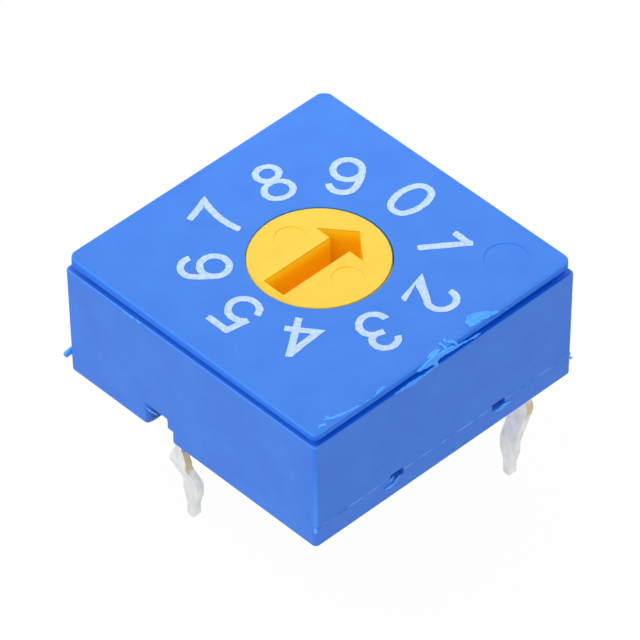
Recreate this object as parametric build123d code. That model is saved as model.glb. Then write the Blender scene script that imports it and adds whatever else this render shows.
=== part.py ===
from build123d import *
import os
from math import acos, atan2, cos, degrees, hypot, radians, sin, tan

# Rotary coded switch, 10 positions, for a printed circuit board. Millimetres.
# Origin: the rotor's axis at the body's underside. +Z up, +X towards the digit 0 and the four code pins.

# ---------------------------------------------------------------- driving dimensions

# moulded housing
body_side = 10.08         # square footprint at the rim
body_height = 3.97        # underside to rim
wall_draft = 0.60         # degrees, the walls narrow towards the underside
body_corner = 0.15        # radius of the upright corners
rim_wall = 0.35           # thin rim that stands around the cover's plug
rim_lead_in = 0.25        # bevel inside the rim, that leads the plug in
ledge_width = 0.40        # shelf inside the rim, where the cover is welded
ledge_depth = 0.45        # shelf below the top of the rim
well_margin = 0.10        # contact well around the leads' pads

# cover
cover_side = 10.00
cover_gap = 0.20          # open groove between the rim and the cover's edge
cover_edge = 0.20         # height of the cover's visible edge
cover_corner = 0.30       # radius of the cover's upright corners
cover_rounding = 0.10     # rounding of the cover's top edge
plug_clearance = 0.04     # plug to rim
hole_chamfer = 0.02       # broken edge of the rotor's hole
gate_mark_radius = 0.65   # shallow round mark left by moulding
gate_mark_inset = 1.32    # mark's centre from the two sides beside it
mark_depth = 0.02         # depth of every moulding mark

# stamped lead frame
pin_pitch = 2.54
row_spacing = 7.62
lead_thickness = 0.25
lead_bottom = 0.58        # plastic below the leads
lead_cover = 0.20         # plastic above the leads, outside the contact well
neck_width = 0.34         # leg where it bends, beside the body
neck_end = 1.22           # where the leg widens to its root, below the body
root_width = 0.66
root_rounding = 0.28      # of the root's four corners
root_length = 1.98        # how far the root reaches below the body
blade_width = 0.58
blade_end = 3.05          # where the blade starts to narrow, below the body
tip_width = 0.30
tip_start = 3.50
pin_length = 4.00         # tip below the body
leg_splay = 0.46          # the root stands this far outside the pin row
splay_start = 1.62        # the leg leans inwards from here
splay_end = 2.62          # and is upright again from here
bend_radius = 0.30        # of the leg's middle line
pad_width = 0.40
tie_width = 0.50          # bars that held the frame together, cut off in the body's sides
tie_recess = 0.30         # cut ends below the face
common_bar_inset = 0.43   # the common lead's bars, from its pad's middle towards the axis
code_bar_inset = 0.21     # the same, for the code leads' bars

# pockets that the legs leave the body through
pocket_width = 1.07
pocket_above = 0.03       # pocket's roof above the lead
pocket_inside = 0.72      # pocket's back wall, inside the leg's middle line
pocket_step = 0.30        # ledge on one side of a pocket, outside the leg
pocket_step_height = 0.50
mould_pin_radius = 0.25   # holes of the pins that held the leads in the mould

# contact fingers
finger_thickness = 0.10
finger_reach = 1.95       # weld tab to contact point
tab_length = 0.70
finger_bump = 0.30        # radius of the contact's middle line
finger_curl = 62.0        # degrees that the tip curls down past the contact
touch_gap = 0.01          # kept between pieces that press on each other
side_play = 0.04          # finger narrower than its track

# rotor
rotor_radius = 2.05
rotor_play = 0.03         # radial running clearance in the cover
lift_play = 0.03          # vertical running clearance
rotor_set_down = 0.02     # rotor's top below the cover's top
disc_height = 0.75        # code disc above the leads
disc_thickness = 0.10
flange_height = 1.30
rotor_chamfer = 0.02
slot_depth = 1.30         # arrow-shaped driver slot
slot_width = 0.78
slot_tail = 1.75          # tail's end from the axis
arrow_width = 1.87
arrow_base = 0.80
arrow_tip = 1.56
eject_mark_radius = 0.46
eject_mark_offset = 1.15

# pivot
pivot_radius = 0.60
pivot_play = 0.03
pivot_height = 0.85       # above the code disc
shoulder_width = 0.20     # step round the pivot that the rotor's hub runs on
hub_width = 0.25          # wall of the rotor's hub, which the code disc sits round

# code disc
positions = 10
disc_edge = 0.10          # disc's edge inside the bottoms of the detent notches
track_land = 0.18         # metal left between two tracks
key_play = 0.02           # round the rotor's hub and islands, in the disc's openings

# detent
notch_depth = 0.22
notch_radius = 0.50
leaf_thickness = 0.12
leaf_height = 1.10
leaf_lift = 0.10          # leaf's lower edge above the flange's underside
leaf_clearance = 0.15     # flange to leaf
flex_room = 0.38          # behind the leaf, for its travel
nose_width = 1.10
nose_radius = 0.28        # of the nose's middle line
seat_play = 0.03          # leaf in its slots
post_length = 0.90        # the seats' posts, from the side walls
post_wall = 0.22          # post in front of the leaf

# seal
ring_section = 0.50
ring_facets = 12          # sides of the hidden seal's section
collar_wall = 0.50        # cover's collar round the seal

# ---------------------------------------------------------------- derived dimensions

lead_top = lead_bottom + lead_thickness
floor_top = lead_top + lead_cover
bottom_side = body_side - 2 * body_height * tan(radians(wall_draft))
rim_side = body_side - 2 * rim_wall
plug_side = rim_side - 2 * plug_clearance
cavity_side = rim_side - 2 * ledge_width
ledge_top = body_height - ledge_depth
edge_bottom = body_height + cover_gap
cover_top = edge_bottom + cover_edge

disc_bottom = lead_top + disc_height
flange_bottom = disc_bottom + disc_thickness
flange_top = flange_bottom + flange_height
rotor_top = cover_top - rotor_set_down

leaf_y = cavity_side / 2 - flex_room - leaf_thickness / 2
flange_radius = leaf_y - leaf_thickness / 2 - leaf_clearance
notch_floor = flange_radius - notch_depth
leaf_bottom = flange_bottom + leaf_lift
leaf_top = leaf_bottom + leaf_height

track_count = 5          # the common track and four bits
hub_radius = pivot_radius + pivot_play + hub_width
disc_bore = hub_radius + key_play
disc_radius = notch_floor - disc_edge
track_pitch = (disc_radius - track_land / 2 - disc_bore) / track_count
track_width = track_pitch - track_land
finger_width = track_width - side_play
step_angle = 360 / positions

ring_inner = rotor_radius + touch_gap
seal_radius = ring_inner + ring_section + touch_gap
seal_top = flange_top + ring_section + 2 * touch_gap

pin_x = row_spacing / 2
leg_x = pin_x + leg_splay
pocket_back = leg_x - pocket_inside
tab_x = finger_reach + tab_length / 2

# The leads, in the order of the tracks that they read, from the inside: the common one and the bits 1, 2, 4
# and 8. Each has its pin's row (-1 or 1 along X) and place in it (in pitches along Y), the side of the axis
# where its finger touches the disc, and the faces that its cut bars reach (-1 front, 1 rear).
leads = [
    {"name": "c", "row": -1, "place": 0.5, "touch": 1, "bars": (-1, 1), "bar_inset": common_bar_inset},
    {"name": "1", "row": 1, "place": -0.5, "touch": -1, "bars": (), "bar_inset": code_bar_inset},
    {"name": "2", "row": 1, "place": 0.5, "touch": 1, "bars": (), "bar_inset": code_bar_inset},
    {"name": "4", "row": 1, "place": -1.5, "touch": -1, "bars": (-1,), "bar_inset": code_bar_inset},
    {"name": "8", "row": 1, "place": 1.5, "touch": 1, "bars": (1,), "bar_inset": code_bar_inset},
]

LOW = (Align.CENTER, Align.CENTER, Align.MIN)


def track_radius(track):
    """Middle of a track of the code disc."""
    return disc_bore + (track + 0.5) * track_pitch


def touch_y(lead):
    """Where a lead's finger touches the disc, along Y."""
    return lead["touch"] * track_radius(leads.index(lead))


def prism(sketch, bottom, top):
    """A flat outline raised from one height to another."""
    return extrude(Pos(0, 0, bottom) * sketch, top - bottom, dir=(0, 0, 1))


def touch_angle(across, along, radius):
    """Angle from a round's centre to where a line from the given place touches the round, in radians."""
    return atan2(along, across) + acos(radius / hypot(across, along))


# ---------------------------------------------------------------- lead frame


def lead_plan(lead, bar_end):
    """Outline of a lead's flat part, seen from above. Its bars end at the given distance from the axis."""
    side, y = lead["row"], touch_y(lead)
    neck_length = pocket_inside / 5
    neck_x = pocket_back - neck_length / 2
    pad = Pos(side * tab_x, y) * Rectangle(tab_length, pad_width)
    neck = Pos(side * neck_x, lead["place"] * pin_pitch) * Rectangle(neck_length, neck_width)
    plan = pad + neck + make_hull(pad.edges() + neck.edges())
    bar_x = side * (tab_x - lead["bar_inset"])
    for way in lead["bars"]:
        plan += Pos(bar_x, (y + way * bar_end) / 2) * Rectangle(tie_width, abs(way * bar_end - y))
    return plan


def leg_front():
    """Outline of a leg seen along X: neck, wide rounded root, blade and narrow rounded tip."""
    root_middle = -(neck_end + root_length) / 2
    neck = Pos(0, (lead_top + root_middle) / 2) * Rectangle(neck_width, lead_top - root_middle)
    root = Pos(0, root_middle) * RectangleRounded(root_width, root_length - neck_end, root_rounding)
    half = [
        (blade_width / 2, root_middle),
        (blade_width / 2, -blade_end),
        (tip_width / 2, -tip_start),
        (tip_width / 2, -pin_length),
    ]
    blade = Polygon(*half, *[(-y, z) for y, z in reversed(half)], align=None)
    blade = fillet(blade.vertices().sort_by(Axis.Y)[:2], tip_width * 0.4)
    return neck + root + blade


def leg_side():
    """Cross-section of a leg seen along Y: out of the pocket, down, and in to the pin row."""
    level = lead_bottom + lead_thickness / 2
    line = FilletPolyline(
        (pocket_back, level),
        (leg_x, level),
        (leg_x, -splay_start),
        (pin_x, -splay_end),
        (pin_x, -pin_length),
        radius=bend_radius,
    )
    return trace(line, lead_thickness)


def terminal(lead):
    """One stamping: a leg with its pin, and the flat lead that is moulded into the floor."""
    front = extrude(Plane.YZ * leg_front(), body_side, both=True)
    side = extrude(Plane.XZ * leg_side(), root_width, both=True)
    leg = Pos(0, lead["place"] * pin_pitch) * (side & front)
    if lead["row"] < 0:
        leg = mirror(leg, about=Plane.YZ)
    return leg + prism(lead_plan(lead, bottom_side / 2 - tie_recess), lead_bottom, lead_top)


def finger_side():
    """Cross-section of a finger seen along Y: weld tab, slope, and a round contact that curls down."""
    level = lead_top + finger_thickness / 2
    centre_z = disc_bottom - touch_gap - finger_thickness / 2 - finger_bump
    angle = touch_angle(finger_reach, level - centre_z, finger_bump)
    slope_end = (finger_bump * cos(angle), centre_z + finger_bump * sin(angle))
    line = Polyline((finger_reach + tab_length, level), (finger_reach, level), slope_end)
    line += CenterArc((0, centre_z), finger_bump, degrees(angle), 90 - degrees(angle) + finger_curl)
    return trace(line.edges(), finger_thickness)


def finger(lead):
    """Spring finger, welded to its lead's pad and pressing on its track of the code disc."""
    solid = extrude(Plane.XZ * finger_side(), finger_width / 2, both=True)
    if lead["row"] < 0:
        solid = mirror(solid, about=Plane.YZ)
    return Pos(0, touch_y(lead)) * solid


# ---------------------------------------------------------------- housing


def leaf_seat():
    """Two posts on the side walls, slotted for the ends of the leaf spring at +Y."""
    height = leaf_top - floor_top
    front = leaf_y - leaf_thickness / 2 - seat_play - post_wall
    posts = Part()
    for side in (-1, 1):
        posts += Pos(side * (cavity_side - post_length) / 2, front, floor_top) * Box(
            post_length, cavity_side / 2 - front, height, align=(Align.CENTER, Align.MIN, Align.MIN)
        )
    slot = Box(cavity_side, leaf_thickness + 2 * seat_play, height, align=LOW)
    return posts - Pos(0, leaf_y, leaf_bottom - seat_play) * slot


def pocket(lead):
    """Room for one leg in the body's lower edge, with a small step on one side."""
    roof = lead_top + pocket_above
    edge_y = -pocket_width / 2
    step_x = leg_x + lead_thickness / 2 + pocket_above
    room = Pos(pocket_back, edge_y, 0) * Box(body_side, pocket_width, roof, align=Align.MIN)
    room -= Pos(step_x, edge_y, pocket_step_height) * Box(body_side, pocket_step, roof, align=Align.MIN)
    if lead["row"] < 0:
        room = mirror(room, about=Plane.YZ)
    return Pos(0, lead["place"] * pin_pitch) * room


def base_housing():
    """Open moulded box: drafted walls, shelf for the cover, pivot, spring seats and the leads' places."""
    body = loft([
        RectangleRounded(bottom_side, bottom_side, body_corner),
        Pos(0, 0, body_height) * RectangleRounded(body_side, body_side, body_corner),
    ])
    well_length = 2 * (tab_x + tab_length / 2 + well_margin)
    well_width = 2 * (track_radius(track_count - 1) + pad_width / 2 + well_margin)
    body -= prism(Rectangle(rim_side, rim_side), ledge_top, body_height)
    rim = body.faces().sort_by(Axis.Z)[-1]
    body = chamfer(rim.inner_wires()[0].edges(), rim_lead_in)
    body -= prism(Rectangle(cavity_side, cavity_side), floor_top, ledge_top)
    body -= prism(Rectangle(well_length, well_width), lead_top, floor_top)
    body += prism(Circle(pivot_radius + shoulder_width), lead_top, disc_bottom - lift_play)
    body += prism(Circle(pivot_radius), lead_top, flange_bottom + pivot_height)
    body += leaf_seat() + mirror(leaf_seat(), about=Plane.XZ)
    for lead in leads:
        body -= prism(lead_plan(lead, body_side / 2), lead_bottom, lead_top)
        body -= pocket(lead)
        body -= Pos(lead["row"] * tab_x, touch_y(lead)) * Cylinder(mould_pin_radius, lead_bottom, align=LOW)
    return body


# ---------------------------------------------------------------- cover and seal


def cover():
    """Lid with a plug that is welded to the shelf, a collar that holds the rotor down, and leaf keepers."""
    lid = prism(RectangleRounded(cover_side, cover_side, cover_corner), edge_bottom, cover_top)
    lid = fillet(lid.faces().sort_by(Axis.Z)[-1].edges(), cover_rounding)
    lid += prism(Rectangle(plug_side, plug_side), ledge_top, edge_bottom)
    lid += prism(Circle(seal_radius + collar_wall), flange_top + lift_play, ledge_top)
    keeper = Rectangle(post_length / 2, post_length / 2)
    for x_way in (-1, 1):
        for y_way in (-1, 1):
            place = Pos(x_way * (cavity_side - post_length) / 2, y_way * leaf_y)
            lid += prism(place * keeper, leaf_top + lift_play, ledge_top)
    lid -= prism(Circle(seal_radius), flange_top, seal_top)
    lid -= prism(Circle(rotor_radius + rotor_play), seal_top, cover_top)
    top = lid.faces().sort_by(Axis.Z)[-1]
    lid = chamfer(top.inner_wires()[0].edges(), hole_chamfer)
    place = cover_side / 2 - gate_mark_inset
    return lid - prism(Pos(place, -place) * Circle(gate_mark_radius), cover_top - mark_depth, cover_top)


def o_ring():
    """Seal round the rotor's neck, between the flange and the cover."""
    centre = Pos(ring_inner + ring_section / 2, flange_top + touch_gap + ring_section / 2)
    section = RegularPolygon(ring_section / 2, ring_facets)
    return revolve(Plane.XZ * centre * section, Axis.Z)


# ---------------------------------------------------------------- rotor, code disc and detent


def code_window(track, first, count, play):
    """Opening in a track over a run of positions, as the track's finger meets them when the rotor turns."""
    middle = track_radius(track)
    turn = degrees(play / middle)
    start = 90 * leads[track]["touch"] + (first - 0.5) * step_angle + turn
    sweep = count * step_angle - 2 * turn
    half = track_width / 2 - play
    arcs = [CenterArc((0, 0), radius, start, sweep) for radius in (middle - half, middle + half)]
    ends = [Line(arcs[0] @ end, arcs[1] @ end) for end in (0, 1)]
    return make_face([*arcs, *ends])


def code_windows(play):
    """Every opening in the code disc: the positions where a bit of the dial's number is 0."""
    windows = Sketch()
    for track, bit in enumerate((1, 2, 4, 8), start=1):
        clear = [not number & bit for number in range(positions)]
        for first in range(positions):
            if clear[first] and not clear[first - 1]:
                count = next(n for n in range(1, positions) if not clear[(first + n) % positions])
                windows += code_window(track, first, count, play)
    return windows


def code_disc():
    """Thin plated disc under the rotor. Metal under a finger closes its bit, a window leaves it open."""
    return prism(Circle(disc_radius) - Circle(disc_bore) - code_windows(0), disc_bottom, flange_bottom)


def arrow():
    """Outline of the driver slot, pointing along +X."""
    half = [(-slot_tail, slot_width / 2), (arrow_base, slot_width / 2), (arrow_base, arrow_width / 2)]
    return Polygon(*half, (arrow_tip, 0), *[(x, -y) for x, y in reversed(half)], align=None)


def rotor():
    """Turning knob: slotted neck, notched flange, hub, and islands that fill the code disc's windows."""
    notches = Sketch() + [
        place * Circle(notch_radius)
        for place in PolarLocations(notch_floor + notch_radius, positions, start_angle=90)
    ]
    neck = prism(Circle(rotor_radius), flange_top, rotor_top)
    neck = chamfer(neck.faces().sort_by(Axis.Z)[-1].edges(), rotor_chamfer)
    body = prism(Circle(flange_radius) - notches, flange_bottom, flange_top) + neck
    body += prism(Circle(hub_radius), disc_bottom, flange_bottom)
    body += prism(code_windows(key_play), disc_bottom, flange_bottom)
    body -= prism(Circle(pivot_radius + pivot_play), disc_bottom, flange_bottom + pivot_height + lift_play)
    body -= prism(arrow(), rotor_top - slot_depth, rotor_top)
    for way in (-1, 1):
        mark = Pos(0, way * eject_mark_offset) * Circle(eject_mark_radius)
        body -= prism(mark, rotor_top - mark_depth, rotor_top)
    return body


def detent_leaf():
    """Leaf spring at +Y, held by its two posts, with a rounded nose that drops into the notches."""
    end = cavity_side / 2 - seat_play
    nose_y = notch_floor + touch_gap + leaf_thickness / 2 + nose_radius
    angle = -touch_angle(nose_width / 2, nose_y - leaf_y, nose_radius)
    slope_end = (nose_radius * cos(angle), nose_y + nose_radius * sin(angle))
    right = Polyline((end, leaf_y), (nose_width / 2, leaf_y), slope_end)
    nose = CenterArc((0, nose_y), nose_radius, degrees(angle), -2 * (90 + degrees(angle)))
    line = right + nose + mirror(right, about=Plane.YZ)
    return prism(trace(line.edges(), leaf_thickness), leaf_bottom, leaf_top)


# ---------------------------------------------------------------- the pieces


def pieces():
    """Every piece of the switch, by name."""
    made = {
        "base_housing": base_housing(),
        "cover": cover(),
        "o_ring": o_ring(),
        "rotor": rotor(),
        "code_disc": code_disc(),
        "detent_leaf_rear": detent_leaf(),
        "detent_leaf_front": mirror(detent_leaf(), about=Plane.XZ),
    }
    for lead in leads:
        made["terminal_" + lead["name"]] = terminal(lead)
        made["finger_" + lead["name"]] = finger(lead)
    return made


os.makedirs("parts", exist_ok=True)
for name, solid in pieces().items():
    export_step(solid, f"parts/{name}.step")
    print(name, round(solid.volume, 3), "cubic millimetres")
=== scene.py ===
# %% [markdown]
# # Dressing a rotary coded switch
# A little blue box, a centimetre square, whose yellow rotor is turned with a screwdriver to choose
# a number. Its construction is finished and packed as a fixed frame: every piece has its real size
# and its real place. This lesson gives the pieces their looks. Moulded edges are softened, the dial
# is printed, the marks that moulding and welding leave behind are added, and each material gets its
# grain. The frame is loaded first.

# %% Load the frame
import math

import bmesh
import bpy
from mathutils import Matrix, Vector, noise


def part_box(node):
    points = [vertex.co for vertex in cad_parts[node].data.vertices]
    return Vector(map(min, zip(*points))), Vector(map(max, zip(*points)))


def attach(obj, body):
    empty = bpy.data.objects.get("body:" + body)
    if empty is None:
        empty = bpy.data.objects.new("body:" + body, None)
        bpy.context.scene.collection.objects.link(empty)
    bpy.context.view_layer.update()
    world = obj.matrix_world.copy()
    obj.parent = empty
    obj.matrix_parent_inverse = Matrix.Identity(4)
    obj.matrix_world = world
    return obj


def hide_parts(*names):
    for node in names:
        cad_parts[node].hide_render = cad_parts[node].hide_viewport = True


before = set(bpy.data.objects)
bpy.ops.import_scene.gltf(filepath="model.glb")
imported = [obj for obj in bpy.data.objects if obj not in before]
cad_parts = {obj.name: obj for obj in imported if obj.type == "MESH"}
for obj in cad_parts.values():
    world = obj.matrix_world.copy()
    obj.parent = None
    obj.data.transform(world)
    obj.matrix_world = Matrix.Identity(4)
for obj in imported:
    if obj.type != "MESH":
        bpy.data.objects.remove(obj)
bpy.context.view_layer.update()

# %% [markdown]
# ## Sizes
# Blender works in metres, and this switch is thought of in millimetres, so one factor turns one
# into the other. Heights and widths that the pieces already have are read from their boxes, not
# typed again: if the construction changes, the looks follow it. The field of noise that shakes the
# ink and the torn bits takes a new start from the clock on every run, so it is given a fixed seed.

# %% Read the main sizes from the frame
MM = 0.001
NOISE_SEED = 1
noise.seed_set(NOISE_SEED)
_, housing_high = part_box("base_housing")
_, cover_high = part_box("cover")
_, rotor_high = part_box("rotor")
pin_low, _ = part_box("terminal_1")

half_side = housing_high.x
rim_top = housing_high.z
cover_top = cover_high.z
rotor_top = rotor_high.z
pin_tip = pin_low.z
print("cover top", round(cover_top / MM, 2), "mm, pin tips", round(pin_tip / MM, 2), "mm")

# %% [markdown]
# ## A way to write finishes
# A material is a small calculation: where is this point, how rough is it there, what colour. Nodes
# could be added and linked one by one, but that hides the calculation. Here a small class wraps a
# node's output, so that ordinary arithmetic adds the Math nodes. Everything else comes from one
# method, which takes the kind of node, its settings and what goes into its sockets.

# %% Arithmetic on sockets
class Wire:
    """One output of a node. Arithmetic on it adds Math nodes."""

    def __init__(self, nodes, socket):
        self.nodes = nodes
        self.socket = socket

    def maths(self, operation, *values):
        return self.nodes.node("Math", {"operation": operation}, dict(enumerate(values)))

    def __add__(self, other):
        return self.maths("ADD", self, other)

    def __sub__(self, other):
        return self.maths("SUBTRACT", self, other)

    def __rsub__(self, other):
        return self.maths("SUBTRACT", other, self)

    def __mul__(self, other):
        return self.maths("MULTIPLY", self, other)

    def __truediv__(self, other):
        return self.maths("DIVIDE", self, other)

    def __rtruediv__(self, other):
        return self.maths("DIVIDE", other, self)

    def __pow__(self, other):
        return self.maths("POWER", self, other)

    def __rpow__(self, other):
        return self.maths("POWER", other, self)

    def __abs__(self):
        return self.maths("ABSOLUTE", self)

    __radd__ = __add__
    __rmul__ = __mul__

    def larger(self, other):
        return self.maths("MAXIMUM", self, other)

    def ramp(self, start, end):
        """0 below start, 1 above end, and even in between."""
        return self.nodes.node(
            "MapRange", {"clamp": True}, {"Value": self, "From Min": start, "From Max": end}
        )


# %% A tree of nodes
class Nodes:
    """The node tree of a material or of the world, and the one method that adds a node to it."""

    def __init__(self, tree):
        self.tree = tree

    def node(self, kind, settings=None, sockets=None, output=0):
        made = self.tree.nodes.new("ShaderNode" + kind)
        for name, value in (settings or {}).items():
            setattr(made, name, value)
        for name, value in (sockets or {}).items():
            self.plug(made.inputs[name], value)
        return Wire(self, made.outputs[output])

    def plug(self, socket, value):
        if isinstance(value, Wire):
            self.tree.links.new(value.socket, socket)
        else:
            socket.default_value = value

    def seen(self):
        """1 for what the camera sees directly, in a reflection or through glass."""
        rays = ("Is Camera Ray", "Is Glossy Ray", "Is Transmission Ray")
        direct, reflected, through = [self.node("LightPath", output=ray) for ray in rays]
        return direct.larger(reflected).larger(through)


# %% A finish and its nodes
class Finish(Nodes):
    """A material around one Principled shader. Constants go straight on the shader's sockets."""

    def __init__(self, name, **constants):
        self.material = bpy.data.materials.new(name)
        self.material.use_nodes = True
        super().__init__(self.material.node_tree)
        self.shader = self.tree.nodes["Principled BSDF"]
        for socket, value in constants.items():
            self.shader.inputs[socket.replace("_", " ")].default_value = value

    def set(self, socket, value):
        self.plug(self.shader.inputs[socket], value)

    def place(self, stretch=(1, 1, 1)):
        """The point being shaded, in millimetres. A stretch draws a pattern out along an axis."""
        metres = self.node("TexCoord", output="Object")
        scale = [1 / (MM * s) for s in stretch]
        return self.node("Mapping", {}, {"Vector": metres, "Scale": scale})

    def axes(self, vector=None):
        """A vector's three parts, or those of the point being shaded."""
        vector = vector or self.place()
        return [self.node("SeparateXYZ", {}, {0: vector}, output=axis) for axis in "XYZ"]

    def facing(self):
        """How far the surface faces along X, Y and Z, from 0 to 1."""
        return [abs(part) for part in self.axes(self.node("NewGeometry", output="Normal"))]

    def edge(self):
        """1 where the surface goes round an edge, 0 on a face that is square to an axis."""
        x, y, z = self.facing()
        return x.larger(y).larger(z).ramp(0.99, 0.80)

    def speckle(self, size, detail=2.0, stretch=(1, 1, 1)):
        """Noise from 0 to 1, whose blobs are about the given size in millimetres."""
        return self.node(
            "TexNoise", {}, {"Vector": self.place(stretch), "Scale": 1 / size, "Detail": detail}
        )

    def mix(self, share, first, second):
        """A colour between two."""
        return self.node("Mix", {"data_type": "RGBA"}, {0: share, 6: first, 7: second}, output=2)

    def glow(self, mask, colour):
        """Painted light: an emission, as a share of full white, where the mask is 1, standing in
        for light that soaks through the plastic.
        """
        self.set("Emission Color", self.mix(mask, (0, 0, 0, 1), colour))
        self.set("Emission Strength", 1.0)

    def bump(self, height, depth):
        """Fine relief. Height runs from 0 to 1, and depth is in millimetres."""
        raised = self.node("Bump", {}, {"Height": height, "Distance": depth * MM})
        self.set("Normal", raised)


def paint(red, green, blue):
    """A colour as it is seen on a screen, 0 to 255, as the linear colour that shaders use."""
    seen = [value / 255 for value in (red, green, blue)]
    return [v / 12.92 if v <= 0.04045 else ((v + 0.055) / 1.055) ** 2.4 for v in seen] + [1.0]


print("paint(255, 255, 255) is", paint(255, 255, 255))

# %% [markdown]
# ## Moulded plastic
# The housing, the cover and the rotor are all injection moulded. A mould's face is spark eroded,
# which leaves a fine even grain on the part; the pigment is never quite even either. A flat colour
# would look like a drawing, and an image of plastic would repeat, so the grain is computed: a
# coarse cloud shifts the colour by a few percent, and a fine one lifts the surface by a few
# thousandths of a millimetre.

# %% The moulded finish
def moulded(name, colour, shade, edge_highlight, lip_highlight, roughness, grain_size, grain_depth, ior=1.5):
    """Pigmented plastic with a spark-eroded grain. Shade is the colour where the pigment is
    thickest. Two more are painted highlights on rounded edges: edge_highlight for upright ones,
    lip_highlight for those that face up."""
    finish = Finish(name, IOR=ior)
    cloud = finish.speckle(1.1, detail=3.0)
    fine = finish.speckle(grain_size, detail=3.0)
    face = finish.mix((cloud * 0.7 + fine * 0.3).ramp(0.35, 0.65), colour, shade)
    # Painted highlight: rounded edges get a lighter, bluer colour than the faces.
    edges = finish.mix(finish.facing()[2].ramp(0.1, 0.4), edge_highlight, lip_highlight)
    finish.colour = finish.mix(finish.edge(), face, edges)
    finish.set("Base Color", finish.colour)
    finish.set("Roughness", roughness + (fine - 0.5) * 0.2)
    finish.bump(fine, grain_depth)
    return finish


housing_blue = moulded(
    "housing_plastic",
    paint(65, 134, 242), paint(59, 126, 236), paint(42, 128, 253), paint(76, 148, 255),
    0.62, grain_size=0.07, grain_depth=0.004,
)
cover_blue = moulded(
    "cover_plastic",
    paint(56, 128, 230), paint(50, 121, 225), paint(56, 140, 252), paint(66, 146, 255),
    0.55, grain_size=0.06, grain_depth=0.004, ior=1.38,
)
torn_blue = moulded(
    "torn_plastic",
    paint(72, 160, 255), paint(44, 140, 250), paint(72, 162, 255), paint(88, 172, 255),
    0.5, grain_size=0.05, grain_depth=0.01,
)
# Painted light: the torn strands glow a little blue, standing in for light through thin plastic.
torn_blue.glow(1.0, (0.0, 0.060, 0.14, 1))
print("three blues:", housing_blue.material.name, cover_blue.material.name, torn_blue.material.name)

# %% [markdown]
# Pigmented plastic is a little translucent. In the narrow groove between the rim and the cover
# hardly any light falls, but some soaks through the thin rim, and only the blue of it gets that
# far. A real scattering shader would be slow and noisy at this size, so the few faces inside the
# groove are painted dark blue as shade and give off a little deep blue as painted light instead.
# It is a stand-in, it doesn't dim with the lamps, and it is lighter on the side at -X, which faces
# the key lamp. The inside of the rim is picked out by how far a point lies from the axis. A high
# power stands for the larger of the two distances, and rounds the band's corners. The pockets and
# windows get a painted shade inside, and a patchy pale line of painted highlight marks the seam on
# the wall at -Y, where the fin's upper side catches the light.

# %% Painted shade and light in the groove, pockets and seam
RIM_LOWERED = 0.09
GROOVE = 0.20
RIM_FLAT = 0.03
CORNER_POWER = 60
SEAM = 0.762
rim_crest = rim_top / MM - RIM_LOWERED
groove_top = rim_top / MM + GROOVE

x, y, z = housing_blue.axes()
lit_side = (-1 * x - abs(y)).ramp(-0.1, 0.1)
half = half_side / MM
powers = (abs(x) / half) ** CORNER_POWER + (abs(y) / half) ** CORNER_POWER
reach = half * powers ** (1 / CORNER_POWER)
inside_rim = reach.ramp(half - RIM_FLAT, half - RIM_FLAT - 0.03) * z.ramp(3.3, 3.6)
recess_shade = reach.ramp(half - 0.16, half - 0.30) * z.ramp(0.02, 0.08) * z.ramp(0.90, 0.82)
# Painted highlight: a patchy pale line along the seam at -Y, where the fin catches the light.
seam_highlight = (1 - abs(z - SEAM).ramp(0.012, 0.024)) * y.ramp(-4.90, -5.0)
seam_highlight *= housing_blue.speckle(0.45, detail=4.0).ramp(0.40, 0.60)
# Painted shade: dark blue inside the rim's groove, and a darker blue inside the pockets and
# windows.
colour = housing_blue.mix(inside_rim, housing_blue.colour, paint(8, 60, 150))
colour = housing_blue.mix(recess_shade * 0.8, colour, paint(10, 66, 150))
housing_blue.set("Base Color", housing_blue.mix(seam_highlight, colour, paint(112, 172, 255)))
# Painted light: the groove glows deep blue, more on the side at -X, which faces the key lamp.
painted_groove_light = housing_blue.mix(lit_side, (0.0, 0.046, 0.31, 1), (0.008, 0.082, 0.35, 1))
housing_blue.glow(inside_rim, painted_groove_light)

x, y, z = cover_blue.axes()
lit_side = (-1 * x - abs(y)).ramp(-0.1, 0.1)
# Painted shade: the cover's side darkens down into the groove, a little less on the side at -X,
# which faces the key lamp.
low = cover_blue.mix(lit_side, paint(0, 92, 210), paint(8, 92, 220))
side_shade = cover_blue.mix(z.ramp(4.35, 4.29), cover_blue.colour, paint(16, 122, 255))
cover_blue.set("Base Color", cover_blue.mix(z.ramp(4.28, 4.12), side_shade, low))
# Painted light: the lowest part of the cover's side glows a faint blue.
cover_blue.glow(z.ramp(4.26, 4.12), (0.0, 0.032, 0.14, 1))
print("the groove runs from", round(rim_crest, 2), "to", round(groove_top, 2), "mm")

# %% [markdown]
# ## The rotor's yellow
# Acetal lets some light in. Down in the driver slot light only arrives after it has bounced from
# wall to wall, and each bounce off yellow takes more of the blue and green away, so the walls look
# orange. The renderer works out the bounces by itself. What it doesn't know is the light that soaks
# through the material, so painted light stands in for it: the colour is painted warmer with depth
# below the rotor's face, and the slot's walls give off a faint orange glow.

# %% The rotor's finish
rotor_yellow = Finish("rotor_plastic", IOR=1.48, Roughness=0.45)
depth = rotor_top / MM - rotor_yellow.axes()[2]
rotor_cloud = rotor_yellow.speckle(0.8, detail=3.0)
pale, full, painted_depth_orange = paint(243, 202, 38), paint(242, 196, 32), paint(250, 180, 0)
face_yellow = rotor_yellow.mix(rotor_cloud.ramp(0.35, 0.65), pale, full)
# Painted light: the yellow turns orange with depth below the rotor's face.
rotor_yellow.set("Base Color", rotor_yellow.mix(depth.ramp(0.04, 0.35), face_yellow, painted_depth_orange))
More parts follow.
